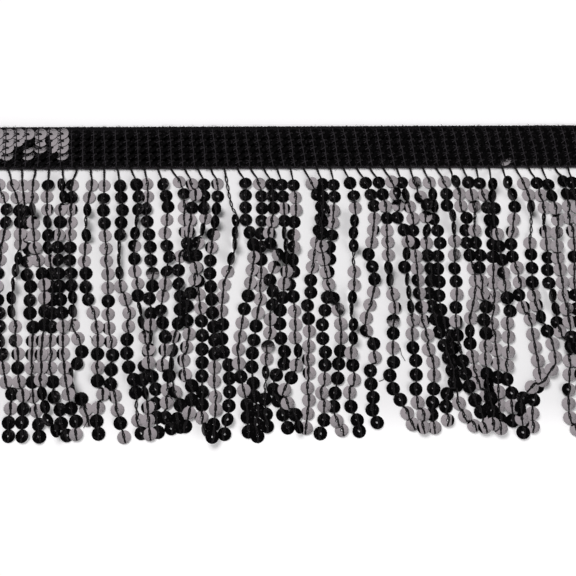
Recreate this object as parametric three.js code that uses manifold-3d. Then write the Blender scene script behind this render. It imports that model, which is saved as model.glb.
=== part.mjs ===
// A cut length of sequin fringe trim, lying face up on a flat surface.
// Millimetres. X runs along the trim, +Y points from the fringe up to the heading's top edge, +Z is up.
// The origin is the middle of the heading tape's underside.
import * as THREE from "three";
import { mergeVertices } from "three/addons/utils/BufferGeometryUtils.js";
import Module from "manifold-3d";

const wasm = await Module();
wasm.setup();

// The driving sizes.
const STRAND_GAUGE = 6.35; // from one strand to the next: four to the inch
const STRAND_COUNT = 47;
const TRIM_LENGTH = STRAND_GAUGE * STRAND_COUNT;
const FEED_DRIFT = 1.3; // how far the stitched roots have crept along the edge at mid length
const TAPE_HEIGHT = 20.4;
const TAPE_THICKNESS = 1;
const SEAM_GAP = 0.3; // between sewn pieces
const EDGE_CORD = 1.4; // diameter of the corded stitch along the lower edge
const CORD_SIDES = 8;
const SEQUIN = 6; // diameter
const FACING_ROWS = 5; // sequin rows across the heading
const FACING_ROW_PITCH = 3.7;
const FACING_INSET = 0.6; // the bare tape left above the top row
const FACING_BED = 0.5; // facing thickness where a sequin tucks under the one above
const FACING_LIFT = 1.3; // facing thickness at a sequin's free lower rim
const SEQUIN_PITCH = 6.25; // along a strand, rim to rim
const FIRST_SEQUIN = 7.7; // depth of the first sequin's centre below the edge
const RIBBON_THICKNESS = 1.2; // a sequin with its chain stitch
const THREAD_WIDTH = 1.2; // the chain stitch alone
const SHOULDER = 0.5; // length of the step from bare thread to the first sequin
const TIP_WIDTH = 3.6; // where the last sequin rounds off
const SECTION_EVERY = 3; // sequins between the sections of a strand that lies flat

// How far a strand's ribbon is rolled about its thread, in degrees, by the way that a sequin lies.
// Capitals lie flat or nearly: G level, B leaning a little, C and D creased along the thread with the
// left or right half leaning. c and d are level with a bent left or right rim.
// b and g are turned part of the way and e is nearly on edge. A dot is bare thread, its sequin lost.
const ROLL = { B: 0, G: 0, C: 0, D: 0, c: 0, d: 0, b: 50, g: 50, e: 72, ".": 0 };

// The strands from the left end to the right. Columns: where the thread lies along X at each station
// depth, the way its sequins lie from the top, and any sharper bends between the stations.
const STATION_DEPTHS = [8, 20, 39, 57, 76, 94.5, 113, 125.5];
const STRANDS = [
  [[-144.0, -141.5, -139.0, -138.0, -137.0, -134.0, -131.0, -129.5], "BGGBBbGGBBBGGBBBGGBB", []],
  [[-136.5, -132.0, -132.3, -133.0, -130.0, -127.0, -122.6, -122.2], "GGBBGGGBGBBBbBGGBGBB", []],
  [[-129.8, -126.0, -124.5, -125.7, -123.3, -120.7, -117.0, -116.5], "GGBBGgbbebbGccBGGBBB", []],
  [[-125.3, -123.3, -122.0, -118.0, -115.1, -114.0, -111.8, -108.9], "GgBBGGbBBBBBccGBGGBB", []],
  [[-120.0, -119.8, -116.8, -111.7, -110.3, -110.0, -107.5, -102.3], "GGbGGGGBGGBBccGGbbbe", []],
  [[-113.5, -112.9, -110.8, -107.7, -106.7, -105.8, -100.7, -97.0], "BGcbBBGBBBBBGccBBBBB", []],
  [[-106.7, -106.3, -106.3, -104.5, -101.7, -99.8, -95.7, -93.2], "bbGBcBBBBBBGccGGGBBG", []],
  [[-101.7, -101.5, -100.8, -99.2, -97.0, -94.1, -91.9, -89.0], "CBGGGBBBBbbcGBBgeBGG", [[88.5, -92.2]]],
  [[-93.2, -94.0, -93.8, -92.8, -86.3, -84.8, -83.7, -83.2], "GGbebGGBBBGGGBGBGGBB", []],
  [[-86.9, -86.5, -84.2, -82.2, -80.8, -79.0, -75.3, -71.7], "GBBBGGGGGBGccBBBcGBG", []],
  [[-79.3, -77.7, -78.1, -76.5, -72.0, -70.9, -66.8, -64.8], "BBBBBeebGGGGBBBBB.GB", []],
  [[-71.6, -70.3, -71.2, -69.5, -66.5, -64.8, -62.0, -60.1], "BBBgbCBGGBebGBBBbcGG", []],
  [[-66.6, -66.5, -63.7, -61.9, -61.8, -62.0, -58.8, -57.3], "GGBBBBBGBBBGeGGBBBBB", []],
  [[-58.9, -56.1, -55.8, -56.0, -56.9, -56.0, -54.0, -51.3], "BBBGGBBBGGBBBcGBggBB", []],
  [[-51.0, -48.8, -47.8, -50.2, -49.3, -52.3, -47.7, -46.5], "GBGGcBGBBBBBGbbeCBBB", []],
  [[-45.5, -45.2, -46.3, -43.5, -45.7, -46.3, -43.1, -45.5], "cGBGdBBGGBBBGccGBBGB", []],
  [[-39.6, -39.6, -42.2, -40.8, -38.8, -38.1, -37.8, -37.0], "BBBGebBBBGGBBBBBBBGg", []],
  [[-34.5, -33.5, -35.4, -35.5, -33.6, -32.7, -32.5, -33.2], "cBbbCcBBBBBBBBGGGGBB", []],
  [[-28.7, -26.4, -25.2, -29.0, -29.8, -26.3, -25.8, -27.5], "...BBgbGGGGBBBBBBBBB", []],
  [[-20.2, -19.9, -16.0, -17.3, -20.8, -21.8, -18.0, -17.6], "BBBBBBGGGBBGGGGBGBBB", []],
  [[-13.6, -12.2, -12.5, -12.5, -14.2, -15.8, -14.0, -13.0], "GBBBBBBcGGGBBBBBBBBB", []],
  [[-8.1, -6.8, -7.2, -8.6, -7.8, -9.5, -10.0, -9.3], "BBBGdBCGBBBGGGGb.BBB", [[45, -5.5]]],
  [[-3.1, -2.0, -1.6, -2.0, -3.7, -1.7, -4.5, -0.2], "BBdBeeecGBBBBBBBBBBB", [[101, -5.2], [107, -6.8]]],
  [[2.5, 3.6, 2.7, 1.5, 3.0, 3.5, -0.2, 4.0], "BGGBCCBBBBGGGbGBGGBb", [[101, 1.3], [107, -1.3]]],
  [[11.2, 15.5, 12.8, 10.2, 9.3, 9.5, 9.2, 8.0], "GBBBBGGGBBBBGGccGGGG", []],
  [[15.8, 16.3, 15.7, 18.8, 24.0, 22.8, 20.0, 23.6], "BBBBBGGdGBdGGBBBBBGG", []],
  [[21.6, 21.3, 19.5, 17.8, 15.8, 16.5, 16.0, 14.6], "BBGGBBBBBBBBBBBGGGBB", []],
  [[29.5, 31.3, 30.1, 30.3, 29.5, 29.2, 28.0, 31.3], "BBGbbbeGGbeebGBGGBBB", []],
  [[36.8, 40.4, 38.6, 39.7, 35.3, 39.0, 37.9, 39.0], "BBBGdGBBBGGGCBGBBBBB", [[45, 37]]],
  [[43.0, 45.8, 46.2, 47.0, 47.7, 47.1, 49.7, 54.2], "BBGBGGGbbGcBBGBBBBGG", []],
  [[49.3, 51.7, 55.8, 54.9, 56.8, 57.4, 57.0, 59.0], "GDGBBGbBbebGGBBBBGGc", []],
  [[53.9, 57.0, 58.5, 59.5, 61.5, 65.0, 63.8, 64.3], "BbcGBBGGCCCdGGGGBBBc", []],
  [[60.0, 65.2, 64.0, 65.8, 67.3, 72.8, 71.9, 70.5], "bCBGbGBBBBBBBBBBBBBd", [[101, 74], [107, 73.8]]],
  [[66.7, 69.0, 70.4, 69.3, 70.3, 74.2, 75.7, 80.3], "GbbBBBBBBBBBBBBBBGGG", []],
  [[74.0, 74.5, 77.5, 77.3, 76.3, 78.3, 82.5, 86.4], "GBBbeGGBBGBdBeBBBBBc", []],
  [[79.5, 81.0, 82.9, 85.9, 82.6, 82.5, 87.8, 89.0], "bGGBBBBGGGGGbBGGGGBG", []],
  [[85.3, 86.9, 87.0, 88.8, 88.6, 88.4, 89.8, 90.5], "BGDbGBBBGGBBBGGBbBBG", []],
  [[90.5, 93.3, 94.8, 94.0, 93.0, 93.8, 93.0, 93.0], "BGBBBBBGGGGGGGGBGGBG", []],
  [[96.1, 96.2, 97.0, 98.9, 100.0, 97.8, 98.9, 98.0], "bbBBGBBCGBBGGGGBBgbB", []],
  [[103.6, 106.2, 103.1, 105.9, 109.8, 111.5, 108.0, 107.0], "bgBGcBBGGBcGGGGGBBGG", [[101, 112], [107, 110.2]]],
  [
    [111.2, 113.7, 112.3, 112.0, 116.2, 118.4, 102.8, 103.3],
    "GGB..GBBBGcBBGGGGBBGB",
    [[101, 113.5], [105, 108.3], [109.5, 104.8]],
  ],
  [[117.4, 120.0, 120.0, 119.4, 122.0, 126.2, 124.5, 126.5], "BGGbcGBBBbBCGbGGCGGG", []],
  [[122.6, 125.0, 125.2, 125.5, 127.5, 130.0, 131.0, 132.0], "BBGGDGGGGcdcBBGBBGBB", []],
  [[130.3, 131.3, 132.5, 131.0, 131.5, 134.0, 136.0, 137.0], "BBGGcGBGGBBBGBBGGBBB", []],
  [[134.0, 135.5, 138.0, 137.5, 138.5, 140.0, 141.5, 142.0], "BBGGBBGGBBBbGGBBGGBB", []],
  [[141.5, 142.5, 144.0, 145.0, 144.5, 146.0, 147.0, 146.5], "BGGBBBBGGGBBBBGGBBBG", []],
  [[147.5, 149.0, 149.5, 150.5, 149.5, 150.0, 151.0, 150.5], "GBBBGGBBBBGGcBBBGGBB", []],
];

const TAPE_HALF = TAPE_HEIGHT / 2;
const EDGE_Y = -TAPE_HALF - SEAM_GAP - EDGE_CORD; // the edge cord's lower side, where depth is 0
const FACING_Z = TAPE_THICKNESS + SEAM_GAP;

// Where strand number k (0 at the left end) leaves the edge cord.
function rootX(k) {
  const fromMiddle = k - (STRAND_COUNT - 1) / 2;
  const share = fromMiddle / ((STRAND_COUNT - 1) / 2);
  return STRAND_GAUGE * fromMiddle + FEED_DRIFT * (1 - share * share);
}

// A smooth line x(depth) through knots, with the slope of its neighbours at each knot.
function routeOf(knots) {
  const slope = knots.map((knot, i) => {
    const before = knots[Math.max(i - 1, 0)];
    const after = knots[Math.min(i + 1, knots.length - 1)];
    return (after.x - before.x) / (after.depth - before.depth);
  });
  return (depth) => {
    let i = 0;
    while (i < knots.length - 2 && depth > knots[i + 1].depth) i += 1;
    const a = knots[i];
    const b = knots[i + 1];
    const span = b.depth - a.depth;
    const t = (depth - a.depth) / span;
    if (t > 1) return b.x + slope[i + 1] * (depth - b.depth);
    const s = 1 - t;
    const start = a.x * (1 + 2 * t) + slope[i] * span * t;
    const end = b.x * (1 + 2 * s) - slope[i + 1] * span * s;
    return s * s * start + t * t * end;
  };
}

// The places of a strand's sequins, a pitch apart along its route.
function placesOf(route, count) {
  const places = [];
  let depth = FIRST_SEQUIN;
  for (let n = 0; n < count; n += 1) {
    const lean = Math.atan(route(depth + 0.5) - route(depth - 0.5));
    places.push({ x: route(depth), depth, lean });
    depth += SEQUIN_PITCH * Math.cos(lean);
  }
  return places;
}

// Four corners of a ribbon across its route, rolled about the thread and resting on the surface.
function cornersOf({ x, depth, lean, width, roll }) {
  const angle = THREE.MathUtils.degToRad(roll);
  const half = width / 2;
  const thick = RIBBON_THICKNESS / 2;
  const z = half * Math.sin(angle) + thick * Math.cos(angle);
  const across = [Math.cos(lean) * Math.cos(angle), Math.sin(lean) * Math.cos(angle), Math.sin(angle)];
  const up = [-Math.cos(lean) * Math.sin(angle), -Math.sin(lean) * Math.sin(angle), Math.cos(angle)];
  const corner = (side, face) => [
    x + side * half * across[0] + face * thick * up[0],
    EDGE_Y - depth + side * half * across[1] + face * thick * up[1],
    z + side * half * across[2] + face * thick * up[2],
  ];
  return [corner(-1, -1), corner(1, -1), corner(1, 1), corner(-1, 1)];
}

// A closed solid through a row of four-cornered sections.
function ribbonSolid(sections) {
  const corners = sections.flatMap(cornersOf);
  const faces = [[3, 2, 1, 0]];
  for (let n = 0; n < sections.length - 1; n += 1) {
    for (let c = 0; c < 4; c += 1) {
      const next = (c + 1) % 4;
      faces.push([4 * n + c, 4 * n + next, 4 * n + 4 + next, 4 * n + 4 + c]);
    }
  }
  const last = 4 * (sections.length - 1);
  faces.push([last, last + 1, last + 2, last + 3]);
  const geometry = new THREE.BufferGeometry();
  geometry.setAttribute("position", new THREE.Float32BufferAttribute(corners.flat(), 3));
  geometry.setIndex(faces.flatMap(([a, b, c, d]) => [a, b, c, a, c, d]));
  return solidOf(geometry);
}

function solidOf(geometry) {
  const bare = geometry.clone();
  bare.deleteAttribute("normal");
  bare.deleteAttribute("uv");
  const merged = mergeVertices(bare, 1e-4);
  return new wasm.Manifold(
    new wasm.Mesh({
      numProp: 3,
      vertProperties: merged.attributes.position.array,
      triVerts: new Uint32Array(merged.index.array),
    }),
  );
}

function geometryOf(solid) {
  const mesh = solid.getMesh();
  const geometry = new THREE.BufferGeometry();
  geometry.setAttribute("position", new THREE.BufferAttribute(mesh.vertProperties, 3));
  geometry.setIndex(new THREE.BufferAttribute(mesh.triVerts, 1));
  geometry.computeVertexNormals();
  return geometry;
}

// The knots of strand k: its root, its stations and its sharper bends, from the top down.
function knotsOf(k) {
  const [stationX, , bends] = STRANDS[k];
  const knots = STATION_DEPTHS.map((depth, n) => ({ depth, x: stationX[n] }));
  bends.forEach(([depth, x]) => knots.push({ depth, x }));
  knots.push({ depth: 0, x: rootX(k) });
  return knots.sort((a, b) => a.depth - b.depth);
}

// One strand: bare thread down to the first sequin, then a ribbon as wide as the sequins.
// A section is kept where the ribbon rolls or is bare, and at every few sequins between.
function strandSolid(k) {
  const lies = STRANDS[k][1];
  const last = lies.length - 1;
  const route = routeOf(knotsOf(k));
  const at = (depth, width, roll) => {
    const lean = Math.atan(route(depth + 0.5) - route(depth - 0.5));
    return { x: route(depth), depth, lean, width, roll };
  };
  const widthOf = (way) => (way === "." ? THREAD_WIDTH : SEQUIN);
  const formOf = (n) => (n <= last ? `${widthOf(lies[n])} wide, rolled ${ROLL[lies[n]]}` : "end");
  const first = [...lies].findIndex((way) => way !== ".");
  const places = placesOf(route, lies.length);
  const shoulder = places[first].depth - SEQUIN / 2;
  const sections = [at(-EDGE_CORD / 2, THREAD_WIDTH, 0), at(shoulder / 2, THREAD_WIDTH, 0)];
  sections.push(at(shoulder, THREAD_WIDTH, 0), at(shoulder + SHOULDER, SEQUIN, ROLL[lies[first]]));
  for (let n = first + 1; n <= last; n += 1) {
    const steady = formOf(n) === formOf(n - 1) && formOf(n) === formOf(n + 1);
    const kept = n % SECTION_EVERY === 0 || !steady;
    if (kept) sections.push(at(places[n].depth, widthOf(lies[n]), ROLL[lies[n]]));
  }
  sections.push(at(places[last].depth + SEQUIN / 2, TIP_WIDTH, ROLL[lies[last]]));
  return ribbonSolid(sections);
}

// The corded stitch along the heading's lower edge, an eight-sided bar with a flat side down.
function edgeCordSolid() {
  const halfSide = Math.PI / CORD_SIDES;
  const radius = EDGE_CORD / 2 / Math.cos(halfSide);
  const bar = new THREE.CylinderGeometry(radius, radius, TRIM_LENGTH, CORD_SIDES);
  bar.rotateY(halfSide);
  bar.rotateZ(Math.PI / 2);
  bar.translate(0, EDGE_Y + EDGE_CORD / 2, EDGE_CORD / 2);
  return solidOf(bar);
}

function fringeGeometry() {
  let comb = edgeCordSolid();
  for (let k = 0; k < STRAND_COUNT; k += 1) comb = comb.add(strandSolid(k));
  return geometryOf(comb);
}

// The overlapped rows of sequins over the tape: a saw-toothed sheet, each row's lower rim
// standing over the row below it.
function facingGeometry() {
  const top = TAPE_HALF - FACING_INSET;
  const profile = new THREE.Shape();
  profile.moveTo(-TAPE_HALF, 0);
  profile.lineTo(top, 0);
  profile.lineTo(top, FACING_BED);
  for (let row = 0; row < FACING_ROWS - 1; row += 1) {
    const rim = top - SEQUIN - row * FACING_ROW_PITCH;
    profile.lineTo(rim, FACING_LIFT);
    profile.lineTo(rim, FACING_BED);
  }
  profile.lineTo(-TAPE_HALF, FACING_LIFT);
  const sheet = new THREE.ExtrudeGeometry(profile, { depth: TRIM_LENGTH, bevelEnabled: false });
  sheet.rotateX(Math.PI / 2);
  sheet.rotateZ(Math.PI / 2);
  sheet.translate(-TRIM_LENGTH / 2, 0, FACING_Z);
  return sheet;
}

function tapeGeometry() {
  const tape = new THREE.BoxGeometry(TRIM_LENGTH, TAPE_HEIGHT, TAPE_THICKNESS);
  tape.translate(0, 0, TAPE_THICKNESS / 2);
  return tape;
}

function piece(name, geometry, color, roughness) {
  const material = new THREE.MeshStandardMaterial({ color, roughness, metalness: 0 });
  const mesh = new THREE.Mesh(geometry, material);
  mesh.name = name;
  return mesh;
}

const trim = new THREE.Group();
trim.add(piece("heading_tape", tapeGeometry(), 0x121113, 0.95));
trim.add(piece("heading_sequins", facingGeometry(), 0x0c0b0d, 0.25));
trim.add(piece("fringe", fringeGeometry(), 0x19181a, 0.3));

export default trim;
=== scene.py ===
# %% [markdown]
# # Sequin fringe trim
# A dressmaker's trim, cut to a length and laid face up on a table. A narrow black knitted tape is
# faced with five overlapped rows of sequins. From the corded stitch along its lower edge hang loose
# strands, each a run of sequins held by one chain stitch. All the sequins are punched from the same
# glossy black film. Some look pewter grey, because they lie just so that they mirror the lamp.
#
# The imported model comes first. It holds the true sizes, and everything made here is fitted to it.

# %% Load the frame
import math
import random

import bpy
import numpy as np
from mathutils import Matrix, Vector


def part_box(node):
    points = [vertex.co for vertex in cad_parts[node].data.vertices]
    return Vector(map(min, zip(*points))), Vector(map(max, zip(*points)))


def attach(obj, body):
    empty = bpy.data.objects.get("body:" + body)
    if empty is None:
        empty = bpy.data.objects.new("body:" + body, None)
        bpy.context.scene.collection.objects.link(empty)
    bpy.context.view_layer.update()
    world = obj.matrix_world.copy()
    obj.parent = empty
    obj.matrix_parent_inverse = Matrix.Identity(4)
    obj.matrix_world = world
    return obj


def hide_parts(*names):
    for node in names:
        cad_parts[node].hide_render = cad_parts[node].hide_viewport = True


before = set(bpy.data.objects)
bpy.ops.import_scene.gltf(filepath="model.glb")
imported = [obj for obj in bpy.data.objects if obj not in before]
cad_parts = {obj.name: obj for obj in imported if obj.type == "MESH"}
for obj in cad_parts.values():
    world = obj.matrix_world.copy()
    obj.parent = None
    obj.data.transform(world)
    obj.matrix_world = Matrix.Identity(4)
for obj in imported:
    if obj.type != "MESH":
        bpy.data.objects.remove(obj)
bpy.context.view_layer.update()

# %% [markdown]
# ## Working units and small helpers
# Haberdashery is measured in millimetres, so the tables and shapes below are in millimetres too, and
# they are scaled to metres once, where a mesh or a curve is made. Two helpers keep bpy.ops honest:
# an operator acts on whatever is selected, so everything is deselected before a new piece is begun.

# %% Units and selection
MM = 0.001
rng = random.Random(7)


def deselect():
    bpy.ops.object.select_all(action="DESELECT")


def choose(obj):
    deselect()
    obj.select_set(True)
    bpy.context.view_layer.objects.active = obj


def triangles(obj):
    return sum(len(p.vertices) - 2 for p in obj.data.polygons)


tape_low, tape_high = (np.array(corner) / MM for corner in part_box("heading_tape"))
TRIM_LENGTH = tape_high[0] - tape_low[0]
STRAND_COUNT = 47
STRAND_GAUGE = TRIM_LENGTH / STRAND_COUNT
EDGE_CORD = 1.4
SEAM_GAP = 0.3
EDGE_Y = tape_low[1] - SEAM_GAP - EDGE_CORD
print(f"trim {TRIM_LENGTH:.1f} mm long, strands every {STRAND_GAUGE:.2f} mm, edge at y {EDGE_Y:.1f}")

# %% [markdown]
# ## The camera
# The trim lies flat and is seen from nearly straight above, a little from the fringe's side, so the
# camera stands 16.5 degrees off the plumb line. A 60 mm lens keeps the perspective gentle.

# %% Camera
AIM = np.array([-0.3, EDGE_Y - 58.75, 0.0])
CAMERA_DISTANCE = 439.4
CAMERA_TILT = math.radians(16.5)
CAMERA_ROLL = math.radians(-0.2)

deselect()
toward_camera = np.array([0.0, -math.sin(CAMERA_TILT), math.cos(CAMERA_TILT)])
turned = Matrix.Rotation(CAMERA_TILT, 3, "X") @ Matrix.Rotation(CAMERA_ROLL, 3, "Z")
bpy.ops.object.camera_add(
    location=tuple((AIM + CAMERA_DISTANCE * toward_camera) * MM),
    rotation=tuple(turned.to_euler()),
)
camera = bpy.context.object
camera.name = "camera"
camera.data.lens = 60
camera.data.sensor_width = 36
camera.data.clip_start = 0.01
bpy.context.scene.camera = camera
print("camera", [round(c, 3) for c in camera.location])

# %% [markdown]
# ## Floor and light
# The trim lies on a white table under one softbox, which hangs up and to the left. That is the
# whole picture for glossy black film: a sequin has next to no colour of its own, it is a small
# mirror, so it looks pewter grey where it leans to show the softbox and black where it doesn't.
# A weak sky and a dimmer panel on the other side fill the shadows. A lamp's power is worked out from
# how bright it has to look in a mirror, and together they light a white card to about white. As in
# any softbox, the middle is hotter than the edge, so the lit sequins aren't all of one tone. A
# second, smaller disc just in front of the first makes that middle.

# %% Helpers for colours and nodes


def linear(code):
    """The linear colour of an sRGB hex code, with its alpha."""
    channels = [int(code[i : i + 2], 16) / 255 for i in (1, 3, 5)]
    return (*[c / 12.92 if c <= 0.04045 else ((c + 0.055) / 1.055) ** 2.4 for c in channels], 1)


def add(tree, kind, settings=None, **inputs):
    """Adds a node, with its settings, and sets or links its inputs."""
    node = tree.nodes.new("ShaderNode" + kind)
    for name, value in (settings or {}).items():
        setattr(node, name, value)
    return dress(tree, node, **inputs)


def dress(tree, node, **inputs):
    """Sets or links a node's inputs. An underscore is a space, _0 the first input, and a node
    stands for its first output."""
    for name, value in inputs.items():
        socket = node.inputs[int(name[1:]) if name[0] == "_" else name.replace("_", " ")]
        if isinstance(value, bpy.types.Node):
            value = value.outputs[0]
        if isinstance(value, bpy.types.NodeSocket):
            tree.links.new(value, socket)
        else:
            socket.default_value = value
    return node


def new_material(name):
    """A material with its Principled shader, and no other node but the output."""
    material = bpy.data.materials.new(name)
    material.use_nodes = True
    return material, material.node_tree, material.node_tree.nodes["Principled BSDF"]


# %% The white table
# The paint is white. What the eye and a mirror see of it is lifted, to clear white, so the contact
# shadows stay and the table doesn't go grey. Over a box round the trim the lift fades: a painted shade,
# which leaves the table greyer between the strands.
SHADED_HALF_WIDTH = TRIM_LENGTH / 2
SHADED_HALF_DEPTH = 72.0
SHADED_MIDDLE = -61.0
FADE_FROM = -14.0
FADE_TO = 10.0
TABLE_LIFT = 0.21
TABLE_SIZE = 4
deselect()
bpy.ops.mesh.primitive_plane_add(size=TABLE_SIZE)
floor = bpy.context.object
floor.name = "table"
paint, tree, shader = new_material("white_table_paint")
dress(tree, shader, Base_Color=linear("#FAF9FA"), Roughness=0.9, Specular_IOR_Level=0.1)
place = add(tree, "TexCoord")
axes = add(tree, "SeparateXYZ", Vector=place.outputs["Object"])
across = add(tree, "Math", {"operation": "ABSOLUTE"}, _0=axes.outputs["X"])
across = add(tree, "Math", {"operation": "SUBTRACT"}, _0=across, _1=SHADED_HALF_WIDTH * MM)
down = add(tree, "Math", {"operation": "SUBTRACT"}, _0=axes.outputs["Y"], _1=SHADED_MIDDLE * MM)
down = add(tree, "Math", {"operation": "ABSOLUTE"}, _0=down)
down = add(tree, "Math", {"operation": "SUBTRACT"}, _0=down, _1=SHADED_HALF_DEPTH * MM)
outside = add(tree, "Math", {"operation": "MAXIMUM"}, _0=across, _1=down)
# The lift fades out over the box round the trim: painted shade between the strands.
lift = add(tree, "MapRange", {"interpolation_type": "SMOOTHSTEP"},
           Value=outside, _1=FADE_FROM * MM, _2=FADE_TO * MM, _3=0.0, _4=TABLE_LIFT)
rays = add(tree, "LightPath").outputs
seen = add(tree, "Math", {"operation": "MAXIMUM"}, _0=rays["Is Camera Ray"], _1=rays["Is Glossy Ray"])
seen = add(tree, "Math", {"operation": "MAXIMUM"}, _0=seen, _1=rays["Is Transmission Ray"])
glow = add(tree, "Math", {"operation": "MULTIPLY"}, _0=seen, _1=lift)
dress(tree, shader, Emission_Color=(1, 1, 1, 1), Emission_Strength=glow)
floor.data.materials.append(paint)

# %% Softbox, fill panel and sky
LAMP = AIM + np.array([-750.0, 1000.0, 2250.0])
LAMP_DIAMETER = 1600.0
LAMP_RADIANCE = 7.0
HOT_DIAMETER = 900.0
HOT_RADIANCE = 1.5
HOT_NEARER = 0.01
FILL = AIM + np.array([900.0, -700.0, 520.0])
FILL_SIZE = 900.0
FILL_RADIANCE = 4.2
SKY = 0.06


def hang_panel(name, place, size, radiance, shape):
    """A soft panel facing the trim. A panel's power is its radiance times pi times its area."""
    deselect()
    bpy.ops.object.light_add(type="AREA", location=tuple(place * MM))
    panel = bpy.context.object
    panel.name = name
    panel.data.shape = shape
    panel.data.size = size * MM
    area = math.pi / 4 * (size * MM) ** 2 if shape == "DISK" else (size * MM) ** 2
    panel.data.energy = radiance * math.pi * area
    away = place - AIM
    panel.rotation_euler = (
        math.atan2(math.hypot(away[0], away[1]), away[2]),
        0,
        math.atan2(away[0], -away[1]),
    )
    panel.visible_camera = False
    return panel


hang_panel("softbox", LAMP, LAMP_DIAMETER, LAMP_RADIANCE, "DISK")
hot_place = LAMP * (1 - HOT_NEARER) + AIM * HOT_NEARER
hot_middle = hang_panel("softbox_hot_middle", hot_place, HOT_DIAMETER, HOT_RADIANCE, "DISK")
hot_middle.data.color = linear("#FFF3F8")[:3]
hang_panel("fill_panel", FILL, FILL_SIZE, FILL_RADIANCE, "SQUARE")

world = bpy.data.worlds.new("studio")
bpy.context.scene.world = world
world.use_nodes = True
sky = world.node_tree.nodes["Background"]
dress(world.node_tree, sky, Color=(0.96, 0.98, 1, 1), Strength=SKY)
bpy.context.scene.view_settings.view_transform = "Standard"

reach = LAMP - AIM
cone = math.pi * (LAMP_DIAMETER / 2) ** 2 / (reach @ reach)
on_table = LAMP_RADIANCE * cone * reach[2] / np.linalg.norm(reach) / math.pi
print(f"softbox gives a white card {on_table:.2f} of white, the sky {SKY:.2f}")

# %% [markdown]
# ## Materials
# Four stuffs make this trim. The sequins are punched from polyester film dyed black right through,
# smooth and hard. The thread is spun polyester, matt with a slight fuzz. The edge cord and the
# stitches on the facing are three-ply yarn. The tape is warp knitted, in columns of small stitches.

# %% Black polyester film
# PET film, rolled and dyed through: nearly no colour of its own, a sharp mirror-like gloss. The eye
# gets black, or the lamp. Handling leaves it faintly rippled. Pale flecks about 0.8 mm across are
# painted into its colour, coarser than real dust, so that they show: partly dust and scuffs, partly
# painted glints of the rippled film.
FILM_FLECK = 0.8
film, tree, shader = new_material("black_polyester_film")
place = add(tree, "TexCoord")
fleck_and_glint_noise = add(tree, "TexNoise", Vector=place.outputs["Object"], Scale=1 / (FILM_FLECK * MM),
           Detail=3.0, Roughness=0.6)
# Paler flecks in the base colour: dust and scuffs, and painted glints.
depth = add(tree, "ValToRGB", Fac=fleck_and_glint_noise)
for stop, (position, code) in zip(depth.color_ramp.elements, [(0.6, "#000000"), (0.72, "#322F32")]):
    stop.position = position
    stop.color = linear(code)
gloss = add(tree, "MapRange", Value=fleck_and_glint_noise, _1=0.3, _2=0.8, _3=0.06, _4=0.15)
ripple = add(tree, "Bump", Height=fleck_and_glint_noise, Strength=1.0, Distance=0.035 * MM)
dress(tree, shader, Base_Color=depth, Roughness=gloss, Normal=ripple, IOR=1.57,
      Specular_IOR_Level=0.42, Specular_Tint=linear("#F6EDF2"))

# %% Spun polyester thread
# Staple fibres spun into yarn: matt and black, only a little paler than a sequin that mirrors
# nothing, and dark against a lit one. The colour is painted paler on the high spots of the fibre bump,
# a painted highlight, most in the three-ply yarn of the cord and of the stitches on the facing. The
# fibre twist is about 0.1 mm, drawn at 0.3 mm so it shows.
YARN_TWIST = 0.3


def yarn_material(name, dark, highlight_colour):
    material, tree, shader = new_material(name)
    place = add(tree, "TexCoord")
    fibre = add(tree, "TexNoise", Vector=place.outputs["Object"],
                Scale=1 / (YARN_TWIST * MM), Detail=2.0, Roughness=0.7)
    # The tone follows the fibre bump: the paler high spots are a painted highlight.
    painted_light_tone = add(tree, "ValToRGB", Fac=fibre)
    for stop, (position, code) in zip(painted_light_tone.color_ramp.elements, [(0.36, dark), (0.64, highlight_colour)]):
        stop.position = position
        stop.color = linear(code)
    fuzz = add(tree, "Bump", Height=fibre, Strength=0.6, Distance=0.08 * MM)
    dress(tree, shader, Base_Color=painted_light_tone, Normal=fuzz, Roughness=0.75, Specular_IOR_Level=0.15,
          Sheen_Weight=0.04, Sheen_Roughness=0.5)
    return material


thread_stuff = yarn_material("spun_polyester_thread", "#050405", "#1F1C1E")
cord_stuff = yarn_material("three_ply_polyester_yarn", "#030203", "#413D42")

# %% Warp-knitted polyester tape
# Chains of stitches stand side by side, 1.1 mm apart, and each stitch is about 0.9 mm tall. Two
# bands crossed at a slant give each column its arrowheads, and the column itself is a soft ridge.
# The colour follows the same relief as the bump: painted light on the raised stitches, painted shade
# in the hollows.
WALE = 1.1
COURSE = 0.9
knit, tree, shader = new_material("warp_knitted_polyester_tape")
place = add(tree, "TexCoord")
axes = add(tree, "SeparateXYZ", Vector=place.outputs["Object"])
across = add(tree, "Math", {"operation": "PINGPONG"}, _0=axes.outputs["X"], _1=WALE / 2 * MM)
slant = add(tree, "Math", {"operation": "MULTIPLY_ADD"}, _0=across, _1=1.2, _2=axes.outputs["Y"])
turns = add(tree, "Math", {"operation": "MULTIPLY"}, _0=slant, _1=2 * math.pi / (COURSE * MM))
rib = add(tree, "Math", {"operation": "SINE"}, _0=turns)
ridge = add(tree, "Math", {"operation": "MULTIPLY"}, _0=across, _1=3.0 / (WALE * MM))
relief = add(tree, "Math", {"operation": "ADD"}, _0=rib, _1=ridge)
relief_painted_shade = add(tree, "MapRange", Value=relief, _1=-1.0, _2=2.4, _3=0.0, _4=1.0)
# Raised stitches paler, hollows darker: painted light and shade.
painted_light_tone = add(tree, "ValToRGB", Fac=relief_painted_shade)
for stop, code in zip(painted_light_tone.color_ramp.elements, ["#040304", "#1B191C"]):
    stop.color = linear(code)
stitch = add(tree, "Bump", Height=relief, Strength=0.7, Distance=0.12 * MM)
dress(tree, shader, Base_Color=painted_light_tone, Normal=stitch, Roughness=0.85, Specular_IOR_Level=0.1,
      Sheen_Weight=0.03)
print("materials", [m.name for m in (film, thread_stuff, cord_stuff, knit)])
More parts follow.
